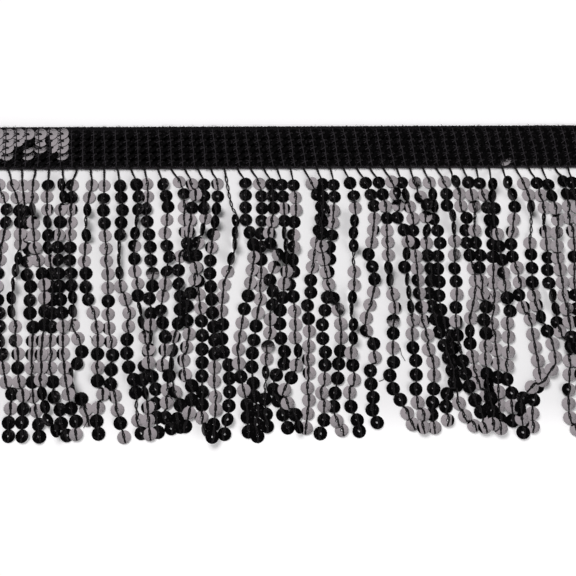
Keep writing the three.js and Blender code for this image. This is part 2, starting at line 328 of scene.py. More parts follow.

# %% [markdown]
# ## How the strands lie
# The machine feeds 47 chain-stitched strands to the edge, four to the inch, with a sequin caught at
# about every 6.2 mm of chain. Laid down, each strand wanders, leans over its neighbours and twists.
# The first table says where each thread lies at eight depths below the edge, with any sharper bends
# after it, as in the solid, and the way that its sequins lie from the top, some of them read again
# since. G is level enough to show the softbox and B leans out of it. C and D are creased along the
# thread so that the left or the right half leans out, and c and d have only that rim folded up. b and
# g are turned part of the way, e is nearly on edge, s shows only part of the softbox, and a dot is
# bare thread that has lost its sequin. The ply says which strand lies over which: 0 lies on the table,
# and CROSSING counts from 1 the sequins that lie over all their neighbours, whatever their ply.
#
# A strand pushed up on the table has its sequins closer together, so GATHERED says how deep the 1st,
# 8th, 14th and 20th of each lie. Loose sequins swing and slide a little on their threads. SWUNG gives
# those that do as number, millimetres right and millimetres down. It is judged.

# %% The strand table
SEQUIN = 6.0
SEQUIN_PITCH = 6.2
GATHERED_UP = 0.5
FEED_START = -0.25
FEED_DRIFT = 1.3
FEED_SHRINK = 0.9955
ASKEW = 0.0065
ROOT_SLIP_AT = [-110, -97, -47, -6]
ROOT_SLIP = [0, 0.6, 0.6, 0]
STATION_DEPTHS = [8, 20, 39, 57, 76, 94.5, 113, 125.5]
STRANDS = [
    ([-144, -141.5, -139, -138, -137, -134, -131, -129.5], "BGGBBbGGBBBGGBBBGGBB"),
    ([-136.5, -132, -132.3, -133, -130, -127, -122.6, -122.2], "GGBBGGGBGBBBbBGGBGBB"),
    ([-129.8, -126, -124.5, -125.7, -123.3, -120.7, -117, -116.5], "GGBBGGbbebbGCcBGGBBB"),
    ([-125.3, -123.3, -122, -118, -115.1, -114, -111.8, -108.9], "GGBBGBCBBBBBccGBGGBB"),
    ([-120, -119.8, -116.8, -111.7, -110.3, -110, -107.5, -102.3], "GGbGGGGBGGBBccGGbbbb"),
    ([-113.5, -112.9, -110.8, -107.7, -106.7, -105.8, -100.7, -97], "BGdbBgGBBBBBGccBBBBB"),
    ([-106.7, -106.3, -106.3, -104.5, -101.7, -99.8, -95.7, -93.2], "bbGBcBBBBBBGccGGGBBG"),
    ([-101.7, -101.5, -100.8, -99.2, -97, -94.1, -91.9, -89], "CBdGGBBBBbbcGBBeeBGG", (88.5, -92.2)),
    ([-93.2, -94, -93.8, -92.8, -86.3, -84.8, -83.7, -83.2], "GGbebGGBBBGGGBGBGGBB"),
    ([-86.9, -86.5, -84.2, -82.2, -80.8, -79, -75.3, -71.7], "GBBBGGGGGBGccBBBcGBG"),
    ([-79.3, -77.7, -78.1, -76.5, -72, -70.9, -66.8, -64.8], "BBBBBeebGGGGBBBBB.GB"),
    ([-71.6, -70.3, -71.2, -69.5, -66.5, -64.8, -62, -60.1], "BBBebCBGGBebGBBBbcGG"),
    ([-66.6, -66.5, -63.7, -61.9, -61.8, -62, -58.8, -57.3], "GGBBBBBsBBBGeGGBBBBB"),
    ([-58.9, -56.1, -55.8, -56, -56.9, -56, -54, -51.3], "BBBGGBBBGGBBBcGBGGBB"),
    ([-51, -48.8, -47.8, -50.2, -49.3, -52.3, -47.7, -46.5], "GBGGcBGBBBBBdbb.CBBB"),
    ([-45.5, -45.2, -46.3, -43.5, -45.7, -46.3, -43.1, -45.5], "cGBGdBBGGBBBGcccBBGB"),
    ([-39.6, -39.6, -42.2, -40.8, -38.8, -38.1, -37.8, -37], "BBBGeCBBBGGBBBBBBBGg"),
    ([-34.5, -33.5, -35.4, -35.5, -33.6, -32.7, -32.5, -33.2], "cBbbCcBBBBBBBBGGGGBB"),
    ([-28.7, -26.4, -25.2, -29, -29.8, -26.3, -25.8, -27.5], "...bbebGGGGBBBBBBBBB"),
    ([-20.2, -19.9, -16, -17.3, -20.8, -21.8, -18, -17.6], "BBBBBBGGGBBGGGGBGBBB"),
    ([-13.6, -12.2, -12.5, -12.5, -14.2, -15.8, -14, -13], "GBBBBBBcGGGBBBBBBBBB"),
    ([-8.1, -6.8, -7.2, -8.6, -7.8, -9.5, -10, -9.3], "BBBGdBDGBBBGGsGb.BBB", (45, -5.5)),
    ([-3.1, -2, -1.6, -2, -3.7, -1.7, -4.5, -0.2], "BBdBeebcGBBBBBBBBBBB", (101, -5.2), (107, -6.8)),
    ([2.5, 3.6, 2.7, 1.5, 3, 3.5, -0.2, 4], "BGGBCCBBBBGGGbGBGGBb", (101, 1.3), (107, -1.3)),
    ([11.2, 15.5, 12.8, 10.2, 9.3, 9.5, 9.2, 8], "GBBBBGGGBBBBGGccGGGG"),
    ([15.8, 16.3, 15.7, 18.8, 24, 22.8, 20, 23.6], "BBBBBGGdGBDGGBBBBBGG"),
    ([21.6, 21.3, 19.5, 17.8, 15.8, 16.5, 16, 14.6], "BBGGBBBBBBBBBBBGGGBB"),
    ([29.5, 31.3, 30.1, 30.3, 29.5, 29.2, 28, 31.3], "BBGbbb.GGgebbGBGGBBB"),
    ([36.8, 40.4, 38.6, 39.7, 35.3, 39, 37.9, 39], "BBBGdGBBBGGGCBGBBBBB", (45, 37)),
    ([43, 45.8, 46.2, 47, 47.7, 47.1, 49.7, 54.2], "BBGBGGGbbGdsBGBBBBGG"),
    ([49.3, 51.7, 55.8, 54.9, 56.8, 57.4, 57, 59], "GDGBBGbBeebGGBBBBGGc"),
    ([53.9, 57, 58.5, 59.5, 61.5, 65, 63.8, 64.3], "BbcGBBGGCCCdGGGGBBBc"),
    ([60, 65.2, 64, 65.8, 67.3, 72.8, 71.9, 70.5], "DCBGbGBBBBBBBBBBBBBd", (101, 74), (107, 73.8)),
    ([66.7, 69, 70.4, 69.3, 70.3, 74.2, 75.7, 80.3], "GbbBBBBBBBBBBBBBBGGG"),
    ([74, 74.5, 77.5, 77.3, 76.3, 78.3, 82.5, 86.4], "GBBbeGDBBGBdBeBBBBBc"),
    ([79.5, 81, 82.9, 85.9, 82.6, 82.5, 87.8, 89], "bGGBBBBGGGGGbBGGGGBG"),
    ([85.3, 86.9, 87, 88.8, 88.6, 88.4, 89.8, 90.5], "BGDeGBBBGGBBBGGBbBBG"),
    ([90.5, 93.3, 94.8, 94, 93, 93.8, 93, 93], "BGBBBBBGGGGGGGGBGGBG"),
    ([96.1, 96.2, 97, 98.9, 100, 97.8, 98.9, 98], "ggBBGBBCGBBGGGGBBGB"),
    ([103.6, 106.2, 103.1, 105.9, 109.8, 111.5, 108, 107], "bbBGcBBGGBdGGGGGBBGG",
     (101, 112), (107, 110.2)),
    ([111.2, 113.7, 112.3, 112, 116.2, 118.4, 102.8, 103.3], "GGb..GBBBGdgBGGGGGBBGB",
     (101, 113.5), (105, 108.3), (109.5, 104.8)),
    ([117.4, 120, 120, 119.4, 122, 126.2, 124.5, 126.5], "BGGecGBBBbgBGbGGCGGG"),
    ([122.6, 125, 125.2, 125.5, 127.5, 130, 131, 132], "BBGGDGGGGdDdBBGBBGBB"),
    ([130.3, 131.3, 132.5, 131, 131.5, 134, 136, 137], "BBGGcGBGGBBBGBBGGBBB"),
    ([134, 135.5, 138, 137.5, 138.5, 140, 141.5, 142], "BBGGBBGGBBBbGGBBGGBB"),
    ([141.5, 142.5, 144, 145, 144.5, 146, 147, 146.5], "BGGBBBBGGGBBBBGGBBBG"),
    ([147.5, 149, 149.5, 150.5, 149.5, 150, 151, 150.5], "GBBBGGBBBBGGcBBBGGBB"),
]
PLIES = [int(c) for c in "10101010101011010101010101010132101010101010101"]

GATHERED = [
    (8, 52, 90, 127), (8.1, 52, 90, 127.3), (8.4, 51.5, 90, 127.5), (8.4, 53.2, 90, 127.8),
    (8.4, 52, 90, 125.5), (8.2, 52.3, 90, 127), (8.3, 52, 89.7, 126.8), (8.4, 52, 89, 121),
    (8.5, 52.6, 90, 126.6), (8.9, 52.6, 91, 127.2), (8.8, 52, 90, 125.7), (8.3, 51.2, 89, 126),
    (8.1, 52, 89.3, 125.6), (8, 51, 89, 123.6), (7.1, 50.7, 88, 122.8), (8.1, 50, 87, 122.5),
    (8.4, 49.6, 88, 124.8), (8.1, 52.4, 90, 127.6), (7.8, 51.5, 89, 125.8), (7.8, 50.7, 88.2, 125.5),
    (8.1, 52, 90, 127), (8.4, 49.3, 86.5, 122.8), (8.5, 51, 89, 123.5), (9, 52, 88.8, 122.8),
    (8, 49.3, 86.7, 123.3), (8.6, 51.8, 89, 125), (8.8, 51.3, 89.5, 125.8), (8, 51.8, 89.5, 125.2),
    (7.8, 49.3, 85.8, 121.2), (7.7, 49.6, 87.5, 122.5), (7.3, 49.3, 87.5, 123), (7.9, 49.8, 87.5, 123),
    (7.8, 50, 86.5, 120.4), (7.8, 50, 87.5, 122.3), (7.5, 50, 88, 122.6), (7.3, 50.2, 85.8, 121.2),
    (7.8, 50, 87, 122), (8.2, 51, 88.3, 123.5), (8.8, 51.3, 89, 123.3), (7.8, 51, 87.7, 123.3),
    (8.3, 50, 86, 114.8), (8.3, 51.3, 87.7, 123.7), (8.8, 51, 88, 124), (7.4, 51.2, 88.3, 124),
    (8, 51, 88, 124.5), (7.8, 51.5, 88.5, 124), (7.8, 51, 88, 124),
]
MORE_GATHERED = {
    7: {15: 94.4, 16: 100.8, 17: 106.2, 18: 111, 19: 116.3},
    40: {15: 92, 16: 98, 17: 102.4, 18: 105.6, 19: 110.5, 21: 119.7, 22: 125.6},
}
SWUNG = {
    1: "17 1.4 -.7, 18 .6 -.5, 19 -.2 -.5, 20 .6 -.8",
    2: "6 .6 -1.5, 7 .6 -.5, 8 .3 -.7, 9 .3 -.2, 10 -.8 -.4, 11 -1 -.4, 14 .7 0, 17 .8 -.4, 18 .1 -.3, "
       "19 0 -.5, 20 .4 -.8",
    3: "6 1.8 -.4, 7 .4 -.5, 8 -.7 -.4, 9 0 -.8, 10 -.9 -.6, 11 -1.1 -.5, 12 0 -.5, 18 .9 .3, 19 .7 0, "
       "20 .3 -1",
    4: "1 -.5 0, 2 -.4 .1, 9 0 -.9, 10 0 -1, 11 0 -.9, 12 .5 -.9, 18 .5 0, 20 1.1 -1",
    5: "17 -.8 .9, 18 .3 .4, 19 -.7 .2, 20 .5 -.7",
    6: "2 .8 0, 19 1.2 -.5, 20 .7 -.8",
    7: "7 -.4 0, 10 .9 -.7, 11 .9 -.5, 16 -2.4 -1.7, 17 -1.9 -.6, 18 1.4 -.7, 19 2.6 -1.4, 20 2.6 -1.4",
    8: "1 .6 0, 8 1 -.5, 10 -.5 -.5, 11 -.3 -.7, 17 2.3 0, 18 .3 -.3, 19 -.3 -.3, 20 .7 -.7",
    9: "13 .6 -.3, 14 1.1 -.3, 16 -.9 .7",
    10: "10 .9 -.3, 11 1.1 0, 13 -.7 -.3, 14 -.7 -.3, 16 1.2 -.3, 17 .8 -.2, 20 1.2 -.3",
    11: "9 1 0, 10 .1 -.9, 11 .2 -1.2, 12 .5 -.9, 13 1.8 -.5, 14 2.8 0, 15 .9 .5, 16 -.4 .5",
    12: "2 .7 .2, 10 -1.4 -.3, 11 -.9 -.5, 12 0 -.5, 13 .3 -1, 14 -.2 -1.4, 15 0 -1.4, 16 1 -1.2, "
        "17 1.5 -1.5, 18 .5 -1, 19 .6 -.8, 20 .9 -.5",
    13: "3 0 -.5, 4 -.6 -.3, 5 -1.4 0, 7 .9 -.4, 10 -.8 -.7, 11 -.9 -.3, 12 .4 -.6, 13 1.6 -.7, "
        "14 1.3 -.8, 16 2.6 -.3, 17 1.8 0, 18 .9 0, 19 -.6 .9, 20 1.2 0",
    14: "2 .8 -.4, 6 1.3 -.3, 7 -1.1 -.3, 8 -.7 0, 10 1.2 0, 11 .6 .2, 12 -.3 .5, 13 -.7 .4, 14 0 .7, "
        "15 .2 1, 17 .3 1.9, 18 1 2, 19 -1.2 2.3",
    15: "2 1.3 -.4, 8 2.2 -.5, 9 1 -.7, 10 -.7 -.6, 11 -1.2 -.6, 13 1.5 0, 14 .8 0, 16 .3 .7, 17 2 0, "
        "18 .9 .3",
    16: "4 1.7 -.6, 5 1.6 -1.1, 6 .3 -.4, 17 .2 .8, 18 .1 .7, 20 1.2 -.8",
    17: "1 1 0, 2 .7 0, 17 .4 .6, 18 1 .2, 19 .9 .4, 20 .3 -.5",
    18: "4 1.2 0, 5 .8 0, 6 .4 -.9, 12 .5 0, 13 -.8 .5, 14 -1.4 .3",
    19: "4 -1 .1, 5 -.8 .3, 19 .1 -.6, 20 .6 -.5",
    20: "10 .7 0, 16 .1 1, 17 -.4 .9, 18 1 1, 19 0 .9",
    21: "3 0 .4, 4 -.5 1.2, 5 -1.6 1.2, 6 -.7 .3, 7 1 0, 10 1.7 -.7, 11 1 -.5, 19 .6 .5, 20 .7 -.2",
    22: "6 .5 0, 7 1 0, 8 1 -.3, 10 .4 .5, 13 .1 .6, 14 .7 0, 16 -.3 -.7, 17 .4 0, 18 .7 -.5, "
        "19 1.2 -.2, 20 1.2 -.3",
    23: "4 -.8 0, 5 -.6 .2, 8 .9 -.3, 9 -.5 -.3, 10 .6 -.7, 11 .4 0, 12 .3 0, 14 1 0, 15 .3 .8, "
        "16 -.3 1, 17 -.6 .7, 18 1 .9, 19 2.6 .3, 20 2.3 0",
    24: "10 .6 -.3, 11 -.5 -.3, 12 .2 0, 13 .6 -.7, 17 -.6 .7",
    25: "11 0 -.8, 16 .3 .4, 17 .5 1, 18 .4 1.1, 19 .3 1.3, 20 .5 -.6",
    26: "3 0 .6, 4 0 .4, 5 .3 .7, 6 0 .8, 7 .4 .4, 8 .3 .6, 9 .8 0, 10 .9 0, 11 .8 -.2, 14 .7 0, "
        "17 -1 .2, 18 .3 .3, 19 .9 .2",
    27: "10 -.7 -.3, 11 -1 -.8, 14 -.7 .3, 16 1 .6, 17 -.5 .5, 18 .2 .8, 19 1.3 .7, 20 .5 -.3",
    28: "8 1.2 0, 14 1.7 0, 15 .7 .2, 16 -2 .3, 17 -1.7 .5, 18 0 .5, 19 -.8 .5, 20 .9 0",
    29: "8 -.7 .5, 10 .6 .5, 11 1 .3, 15 .3 .9, 16 -1.8 1.1, 17 -1.3 1.3, 18 .9 .2, 19 2.1 .2, "
        "20 2.1 -.5",
    30: "4 -1.6 0, 5 -.5 0, 7 -1.2 0, 8 -1.9 .2, 13 -.8 0, 14 -.9 0, 16 0 .5, 17 -.4 1, 18 .4 1.2, "
        "19 2.4 .8, 20 1.2 .6",
    31: "4 .8 0, 7 .4 .5, 8 .3 .6, 13 .5 .5, 14 -.6 .7, 15 0 .6, 16 .3 .8, 17 .2 1.1, 18 0 1.2, "
        "19 -.4 .6, 20 .3 .4",
    32: "3 0 -1.1, 4 -1 -.9, 8 .5 .6, 10 -1.6 0, 11 -1.3 0, 18 -2.6 -.5, 19 -2.1 -.4, 20 -.6 -.3",
    33: "4 -1.7 .2, 5 -.5 0, 7 -1 .4, 8 -.8 .6, 9 0 .6, 10 -.5 1, 11 0 1.2, 12 .6 1, 13 2.4 .7, "
        "14 1.3 .4, 18 .3 2, 19 1.5 1.9, 20 3.1 .5",
    34: "4 1.5 -1.2, 5 .9 -.7, 6 0 -.8, 7 -.9 0, 8 -.7 .3, 9 -.5 .3, 18 .9 .4, 19 1.7 0, 20 1.2 .8",
    35: "4 2 0, 5 .7 0, 6 .3 .2, 15 .8 0, 16 .8 .4, 18 1.4 0, 19 .6 0",
    36: "3 .7 .3, 7 1.5 .2, 11 1.2 .4, 13 .7 .3, 14 .6 0, 16 .5 .9",
    37: "10 .6 .2, 12 -.5 .6, 14 0 .4, 15 0 .8, 16 -.2 1.2, 17 -.2 1.8, 18 .4 1.9, 19 .9 2.3, 20 .5 .4",
    38: "3 .3 .2, 4 -.8 0, 5 .5 .6, 6 .6 .5, 7 1 1, 8 .7 1.3, 9 0 .6, 10 .4 .7, 11 .9 .5, 12 -.7 0, "
        "14 .5 .8, 15 .1 1.2, 16 -.5 1.6, 17 .9 2.3, 18 0 2.2, 19 0 3",
    39: "8 .7 -.8, 10 -2 0, 11 -1.6 -.3, 12 .2 -.9",
    40: "8 .5 .3, 9 0 1.1, 10 -.7 1.4, 11 -1.4 0, 12 -.8 -.5, 14 1 0, 15 1.1 .2, 16 .7 0, 17 .8 .3",
    41: "4 -1 0, 5 -.8 -.3, 6 -.4 -.4, 10 .7 0, 11 .9 .2, 12 -.2 .5, 13 -.6 -1.4, 14 1.5 0, 16 -.6 .6, "
        "17 -.8 1.2, 18 -.5 1.4, 19 -.8 1.6, 20 .5 .8",
    42: "4 .5 0, 5 -.3 .3, 6 -.5 .6, 7 -1 .4, 11 -.3 .3, 13 -.4 1.2",
    43: "4 -1 -.3",
}
CROSSING = {11: [1, 2, 3, 18, 19, 20], 14: [14, 15, 17], 22: [8, 9], 24: [1], 26: [18]}
CROSSING_PLY = 4

# %% From the table to places


def root_x(k):
    """Where strand k leaves the edge cord: even steps, crept a little along it at mid length."""
    from_middle = k - (STRAND_COUNT - 1) / 2
    share = from_middle / ((STRAND_COUNT - 1) / 2)
    even = FEED_SHRINK * STRAND_GAUGE * from_middle + FEED_START + FEED_DRIFT * (1 - share * share)
    return even + float(np.interp(even, ROOT_SLIP_AT, ROOT_SLIP))


def swings(text):
    """The loose sequins of one strand: {number: (right, down)}."""
    entries = [entry.split() for entry in text.split(",") if entry]
    return {int(number): (float(right), float(down)) for number, right, down in entries}


def route_of(knots):
    """A smooth line x(depth) through knots (depth, x), with its neighbours' slope at each knot."""
    slopes = []
    for i in range(len(knots)):
        before, after = knots[max(i - 1, 0)], knots[min(i + 1, len(knots) - 1)]
        slopes.append((after[1] - before[1]) / (after[0] - before[0]))

    def x_at(depth):
        i = 0
        while i < len(knots) - 2 and depth > knots[i + 1][0]:
            i += 1
        (from_depth, from_x), (to_depth, to_x) = knots[i], knots[i + 1]
        span = to_depth - from_depth
        t = (depth - from_depth) / span
        if t > 1:
            return to_x + slopes[i + 1] * (depth - to_depth)
        s = 1 - t
        start = from_x * (1 + 2 * t) + slopes[i] * span * t
        end = to_x * (1 + 2 * s) - slopes[i + 1] * span * s
        return s * s * start + t * t * end

    return x_at


def places_of(x_at, count, gathered, swung):
    """The places (x, y, lean) of a strand's sequins. gathered gives the depth of some by number."""
    numbers, depths = zip(*sorted(gathered.items()))
    places = []
    for number in range(1, count + 1):
        depth = float(np.interp(number, numbers, depths)) - GATHERED_UP
        depth += SEQUIN_PITCH * max(0, number - numbers[-1])
        lean = math.atan(x_at(depth + 0.5) - x_at(depth - 0.5))
        right, down = swung.get(number, (0, 0))
        places.append((x_at(depth) - ASKEW * depth + right, EDGE_Y - depth - down, lean))
    return places


strands = []
for k, (stations, lies, *bends) in enumerate(STRANDS):
    knots = sorted([(0, root_x(k)), *zip(STATION_DEPTHS, stations), *bends])
    x_at = route_of(knots)
    gathered = {**dict(zip((1, 8, 14, 20), GATHERED[k])), **MORE_GATHERED.get(k, {})}
    places = places_of(x_at, len(lies), gathered, swings(SWUNG.get(k, "")))
    strands.append({"x_at": x_at, "lies": lies, "places": places, "ply": PLIES[k]})
sequin_count = sum(len(s["lies"].replace(".", "")) for s in strands)
print(len(strands), "strands,", sequin_count, "sequins")

# %% [markdown]
# ## Punching a sequin
# A sequin is a 6 mm disc punched out of film. The punch leaves it very slightly domed, and the
# needle leaves a hole with a small raised lip, which catches the lamp as a bright dot. It is made
# once as by hand: a ring of edges at the hole's lip is extruded and scaled out over the dome to the
# rim, down by the film's thickness, in again under the dome, and bridged back up to the lip. The
# same disc is then bent for the creased ones, and cut and folded for those with a folded rim. Those
# stitched down on the heading have no lip, because the knitting yarn has pressed it flat. There are
# over a thousand sequins, so each has under a hundred faces, and copies are laid into one mesh.

# %% Punch, crease and bend
SIDES = 14
RIM = 1.03 * SEQUIN / 2
HOLE = 1.0
LIP = 1.5
LIP_RISE = 0.08
PRESSED_LIP = -0.02
MID_RING = 0.62
FILM_THICKNESS = 0.12
DOME = 0.10
CREASE = math.radians(16)
FOLD = math.radians(26)
FOLD_AT = 1.75


def dome_at(radius):
    return -DOME * (radius / RIM) ** 2


def punch_sequin(name, fold_side=0, bend=None, lip_rise=LIP_RISE):
    """One sequin at the origin, domed towards +Z, thread along Y. bend(x, y, z) moves its points."""
    deselect()
    start = (HOLE / 2, lip_rise)
    bpy.ops.mesh.primitive_circle_add(
        vertices=SIDES, radius=start[0] * MM, fill_type="NOTHING", location=(0, 0, start[1] * MM)
    )
    disc = bpy.context.object
    disc.name = name
    bpy.ops.object.transform_apply(location=True, rotation=False, scale=False)
    bpy.ops.object.mode_set(mode="EDIT")
    bpy.ops.mesh.select_mode(type="EDGE")
    bpy.ops.mesh.select_all(action="SELECT")
    radius, height = start
    rings = [(r, dome_at(r)) for r in (LIP / 2, MID_RING * RIM, RIM)]
    under = -FILM_THICKNESS
    for ring, level in [*rings, (RIM, dome_at(RIM) + under), (HOLE / 2, under)]:
        bpy.ops.mesh.extrude_edges_move()
        scale = ring / radius
        bpy.ops.transform.resize(value=(scale, scale, 1), center_override=(0, 0, 0))
        bpy.ops.transform.translate(value=(0, 0, (level - height) * MM))
        radius, height = ring, level
    bpy.ops.mesh.select_all(action="DESELECT")
    bpy.ops.mesh.select_mode(type="VERT")
    bpy.ops.mesh.select_non_manifold()
    bpy.ops.mesh.bridge_edge_loops()
    bpy.ops.mesh.select_all(action="SELECT")
    bpy.ops.mesh.normals_make_consistent(inside=False)
    if fold_side:
        bpy.ops.mesh.bisect(plane_co=(fold_side * FOLD_AT * MM, 0, 0), plane_no=(1, 0, 0))
    bpy.ops.object.mode_set(mode="OBJECT")
    if bend:
        for vertex in disc.data.vertices:
            vertex.co = [c * MM for c in bend(*(c / MM for c in vertex.co))]
    return disc


def bent_up(side, start, angle):
    """Turns what lies further out than start on that side (-1 left, 1 right) up by the angle."""

    def bend(x, y, z):
        beyond = x * side - start
        if beyond > 0.001:
            return side * (start + beyond * math.cos(angle)), y, z + beyond * math.sin(angle)
        return x, y, z

    return bend


punched = {
    "plain": punch_sequin("sequin_plain"),
    "facing": punch_sequin("sequin_stitched_flat", lip_rise=PRESSED_LIP),
    "C": punch_sequin("sequin_creased_left", bend=bent_up(-1, 0, CREASE)),
    "D": punch_sequin("sequin_creased_right", bend=bent_up(1, 0, CREASE)),
    "c": punch_sequin("sequin_folded_left", -1, bent_up(-1, FOLD_AT, FOLD)),
    "d": punch_sequin("sequin_folded_right", 1, bent_up(1, FOLD_AT, FOLD)),
}
for name, disc in punched.items():
    print(name, len(disc.data.polygons), "faces")

# %% [markdown]
# ## Leaning and stacking the sequins
# A level mirror shows the lamp when its normal lies halfway between the lamp and the camera. Each
# sequin starts from a natural lean, propped by whatever it lies on, and is then turned only as far
# as its letter asks: into that halfway lean, or out of it. The strands are laid down ply by ply on a
# height map of the table, so each sequin rests on what is under it, as a card house would be built.
# The strand table gives places as they are seen when a sequin lies 1 mm up. One that comes to lie
# higher or lower is slid along the camera's line of sight to its height, so it stays where it is
# seen. Neighbours on one strand don't lift each other, and where pushed together they cut a little.

# %% Leans
CAMERA_PLACE = AIM + CAMERA_DISTANCE * toward_camera
SHOWS = math.radians(5)
EDGE_OF_LAMP = math.radians(9.6)
HIDES = math.radians(14)
UP_TRIM = np.array([0, 0.5, 0])
TURNED = {"b": math.radians(50), "g": math.radians(42), "e": math.radians(74)}
DRAWN_HEIGHT = 1.0


def unit(v):
    return v / np.linalg.norm(v)


def halfway(point):
    """The normal at which a mirror at point shows the middle of the softbox to the camera."""
    return unit(unit(CAMERA_PLACE - point) + unit(LAMP - point))


def turned_to(normal, goal, angle):
    """normal moved in its own plane with goal until it is angle away from goal."""
    side = normal - (normal @ goal) * goal
    if np.linalg.norm(side) < 1e-6:
        side = np.array([1.0, 0, 0]) - goal[0] * goal
    return goal * math.cos(angle) + unit(side) * math.sin(angle)


def settle_lean(natural, point, letter):
    """The natural normal, turned as little as its letter asks."""
    half = halfway(point)
    off = math.acos(min(1.0, natural @ half))
    if letter in "GCDcd" and off > SHOWS:
        return turned_to(natural, half, SHOWS)
    if letter == "s":
        return turned_to(half + UP_TRIM, half, EDGE_OF_LAMP)
    if letter == "B" and off < HIDES:
        return turned_to(natural, half, HIDES)
    return natural


# %% The height map
CELL = 0.25
MAP_LEFT = -165.0
MAP_LOW = -150.0
MAP_LENGTH = 330
MAP_DEPTH = 150
GRID_REACH = 3.0
PRESSED_RADIUS = 2.95
SUPPORT_OUT = np.array([2.0, 2.8, 2.8, 2.8])
SUPPORT_MIDDLE = 2.5
SUPPORT_ALONG = np.array([0, 0, 1.2, -1.2])
SUPPORT_SPAN = 5.4
heights = np.zeros((int(MAP_LENGTH / CELL), int(MAP_DEPTH / CELL)))


def cells(xs, ys):
    i = np.clip(((xs - MAP_LEFT) / CELL).astype(int), 0, heights.shape[0] - 1)
    j = np.clip(((ys - MAP_LOW) / CELL).astype(int), 0, heights.shape[1] - 1)
    return i, j


def disc_grid(radius):
    """Points a cell apart, all over a disc, in its own plane."""
    marks = np.arange(-GRID_REACH, GRID_REACH + 0.01, CELL)
    return np.array([(a, b) for a in marks for b in marks if a * a + b * b < radius * radius])


rim_angles = np.linspace(0, 2 * math.pi, 2 * SIDES, endpoint=False)
rim_points = RIM * np.array([np.cos(rim_angles), np.sin(rim_angles)]).T
PROBES = np.concatenate([rim_points, disc_grid(RIM)])
PRESSED = disc_grid(PRESSED_RADIUS)


def frame_of(normal, lean):
    """Across, along and normal axes of a sequin whose thread runs up its strand."""
    up_strand = np.array([-math.sin(lean), math.cos(lean), 0])
    along = unit(up_strand - (up_strand @ normal) * normal)
    return np.array([np.cross(along, normal), along, normal])


def rest_height(x, y, axes, clearance):
    """The lowest centre height at which every probed point of the disc clears the map."""
    points = PROBES @ axes[:2]
    i, j = cells(x + points[:, 0], y + points[:, 1])
    return float(np.max(heights[i, j] + clearance - points[:, 2]))


def press_in(x, y, z, axes):
    """Raises the map to the top of this disc."""
    points = PRESSED @ axes[:2]
    i, j = cells(x + points[:, 0], y + points[:, 1])
    np.maximum.at(heights, (i, j), z + points[:, 2] + FILM_THICKNESS / 2)


def support_roll(x, y, lean):
    """How the ground under a sequin tips it sideways, from the heights at its left and right."""
    sample = []
    for sign in (-1, 1):
        px = x + sign * math.cos(lean) * SUPPORT_OUT
        py = y + sign * math.sin(lean) * SUPPORT_MIDDLE + SUPPORT_ALONG
        i, j = cells(px, py)
        sample.append(heights[i, j].max())
    return math.atan2(sample[1] - sample[0], SUPPORT_SPAN)


def in_line(x, y, z):
    """The point at height z that the camera sees where the strand table puts x, y."""
    drawn = np.array([x, y, DRAWN_HEIGHT])
    away = CAMERA_PLACE - drawn
    return drawn + away * (z - DRAWN_HEIGHT) / away[2]


# %% Lay the strands, the lowest ply first
# The clearance is how far the domed rim hangs below the middle of a disc.
CLEARANCE = DOME + FILM_THICKNESS
ACROSS_JITTER = 0.12
ALONG_JITTER = 0.1
ROLL_JITTER = math.radians(6)
PITCH_JITTER = math.radians(3.5)
MOST_ROLL = math.radians(24)
TURN_JITTER = math.radians(5)
TWISTS_OVER = 0.3
BARE_THREAD_LIFT = 0.5
runs = []
for k, strand in enumerate(strands):
    strand["sequins"] = [None] * len(strand["places"])
    over = [number - 1 for number in CROSSING.get(k, [])]
    runs.append((strand["ply"], k, [n for n in range(len(strand["places"])) if n not in over]))
    runs.append((CROSSING_PLY, k, over))
for ply, k, numbers in sorted(runs):
    strand = strands[k]
    turn = rng.choice((-1, 1))
    for n in numbers:
        x, y, lean = strand["places"][n]
        letter = strand["lies"][n]
        x += rng.gauss(0, ACROSS_JITTER)
        y += rng.gauss(0, ALONG_JITTER)
        roll = support_roll(x, y, lean) + rng.gauss(0, ROLL_JITTER)
        roll = max(-MOST_ROLL, min(MOST_ROLL, roll))
        pitch = rng.gauss(0, PITCH_JITTER)
        if rng.random() < TWISTS_OVER:
            turn = -turn
        side = np.array([math.cos(lean), math.sin(lean), 0])
        up_strand = np.array([-math.sin(lean), math.cos(lean), 0])
        upright = np.array([0, 0, 1.0])
        if letter == ".":
            i, j = cells(np.array([x]), np.array([y]))
            centre = in_line(x, y, heights[i, j][0] + BARE_THREAD_LIFT)
            strand["sequins"][n] = (centre, frame_of(upright, lean), letter)
            continue
        if letter in TURNED:
            upright = unit(CAMERA_PLACE - np.array([x, y, DRAWN_HEIGHT]))
            side = unit(side - (side @ upright) * upright)
            roll = turn * (TURNED[letter] + rng.gauss(0, TURN_JITTER))
        natural = unit(upright * math.cos(roll) - side * math.sin(roll) + up_strand * math.sin(pitch))
        normal = settle_lean(natural, np.array([x, y, DRAWN_HEIGHT]), letter)
        axes = frame_of(normal, lean)
        x, y, _ = in_line(x, y, rest_height(x, y, axes, CLEARANCE))
        z = rest_height(x, y, axes, CLEARANCE)
        strand["sequins"][n] = (np.array([x, y, z]), axes, letter)
    for n in numbers:
        centre, axes, letter = strand["sequins"][n]
        if letter != ".":
            press_in(*centre, axes)
tops = [centre[2] for s in strands for centre, _, _ in s["sequins"]]
print(f"sequin centres from {min(tops):.2f} to {max(tops):.2f} mm above the table")

# %% Lay copies into one mesh
SMOOTH_UNDER = math.radians(9)


